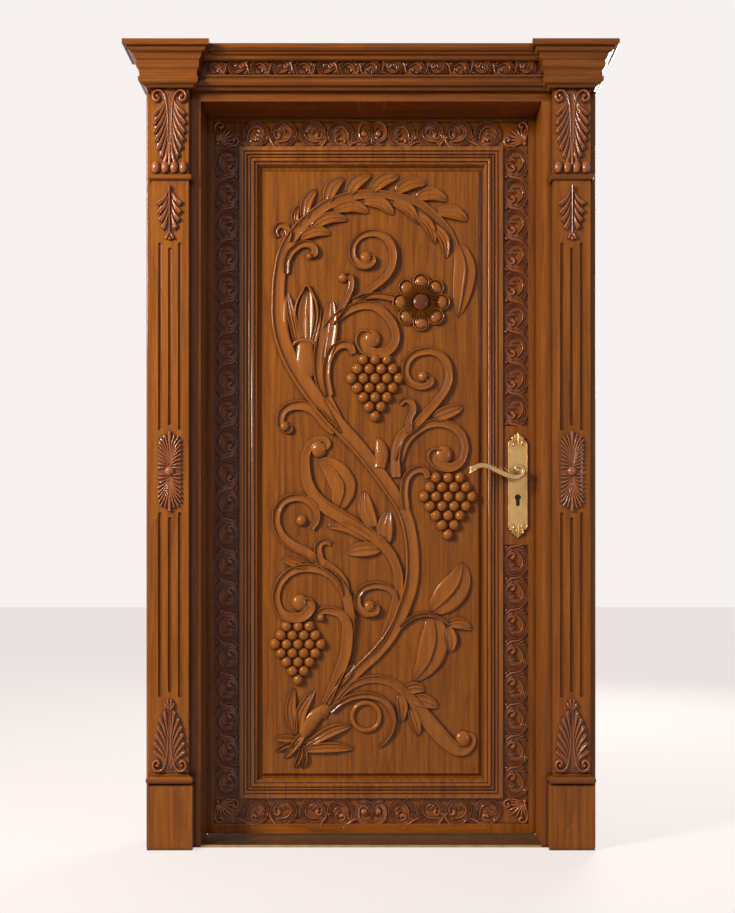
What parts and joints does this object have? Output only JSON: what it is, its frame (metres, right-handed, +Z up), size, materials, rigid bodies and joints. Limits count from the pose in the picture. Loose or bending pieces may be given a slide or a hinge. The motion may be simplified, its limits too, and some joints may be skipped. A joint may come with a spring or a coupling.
{
  "type": "carved security door with frame",
  "caption": "Varnished wooden door leaf with a carved grapevine panel, hinged in a frame with fluted pilasters, capitals and a carved cornice, with a lever lock.",
  "frame": {"origin": "on the floor, in the middle of the doorway, in the plane of the wall's front face", "axes": "+X to the lock side seen from outside, +Y into the wall, +Z up"},
  "size_m": [1.304, 0.3035, 2.142],
  "materials": {
    "varnished_wood": "high-gloss varnish over honey-brown wood",
    "carved_wood": "high-gloss varnish over carved wood",
    "brass": "satin gold",
    "steel": "brushed",
    "threshold_metal": "dull bronze",
    "seal_rubber": "matt"
  },
  "bodies": {
    "frame": {"jamb_lock_side": "varnished_wood", "jamb_hinge_side": "varnished_wood", "head_jamb": "varnished_wood", "casing_right": "varnished_wood", "casing_left": "varnished_wood", "casing_head": "varnished_wood", "rear_casing_right": "varnished_wood", "rear_casing_left": "varnished_wood", "rear_casing_head": "varnished_wood", "plinth_right": "varnished_wood", "plinth_left": "varnished_wood", "base_mouldings": "varnished_wood", "pilaster_right": "varnished_wood", "pilaster_left": "varnished_wood", "neckings": "varnished_wood", "upper_blocks": "varnished_wood", "capital_right": "varnished_wood", "capital_left": "varnished_wood", "cornice": "varnished_wood", "weather_seal": "seal_rubber", "sill": "threshold_metal", "frieze_carving": "carved_wood", "base_leaves": "carved_wood", "top_leaves": "carved_wood", "paterae": "carved_wood", "leaf_drops": "carved_wood", "bead_rows": "carved_wood", "strike_plate": "steel", "hinge_plates_frame": "steel"},
    "leaf": {"stile_hinge": "varnished_wood", "stile_lock": "varnished_wood", "rail_top": "varnished_wood", "rail_bottom": "varnished_wood", "panel": "varnished_wood", "front_moulding": "varnished_wood", "rear_moulding": "varnished_wood", "border_left": "carved_wood", "border_right": "carved_wood", "border_top": "carved_wood", "border_bottom": "carved_wood", "vine_carving": "carved_wood", "hinge_plates_leaf": "steel", "lock_case": "steel", "forend": "steel", "lock_cylinder": "brass", "back_plate_front": "brass", "back_plate_rear": "brass"},
    "lever_set": {"lever_front": "brass", "lever_rear": "brass", "spindle": "steel", "follower": "steel"},
    "latch": {"latch_bolt": "steel"},
    "bolt": {"dead_bolt": "steel"},
    "plug": {"cylinder_plug": "brass"}
  },
  "joints": [
    {"name": "leaf_swing", "type": "hinge", "parent": "frame", "child": "leaf", "pos_m": [-0.4715, 0.139, 1], "axis": [0, 0, 1], "range_deg": [0, 100]},
    {"name": "lever_turn", "type": "hinge", "parent": "leaf", "child": "lever_set", "pos_m": [0.41, 0.105, 1.025], "axis": [0, -1, 0], "range_deg": [0, 40], "stiffness_Nm_per_rad": 2, "springref_deg": -20.05},
    {"name": "latch_slide", "type": "slide", "parent": "leaf", "child": "latch", "axis": [-1, 0, 0], "range_m": [0, 0.0134]},
    {"name": "plug_turn", "type": "hinge", "parent": "leaf", "child": "plug", "pos_m": [0.41, 0.105, 0.951], "axis": [0, -1, 0], "range_deg": [0, 360]},
    {"name": "bolt_slide", "type": "slide", "parent": "leaf", "child": "bolt", "axis": [1, 0, 0], "range_m": [0, 0.02]}
  ],
  "couplings": [
    {"joint": "latch_slide", "follows": "lever_turn", "m_per_rad": 0.019},
    {"joint": "plug_turn", "follows": "bolt_slide", "rad_per_m": 314}
  ]
}
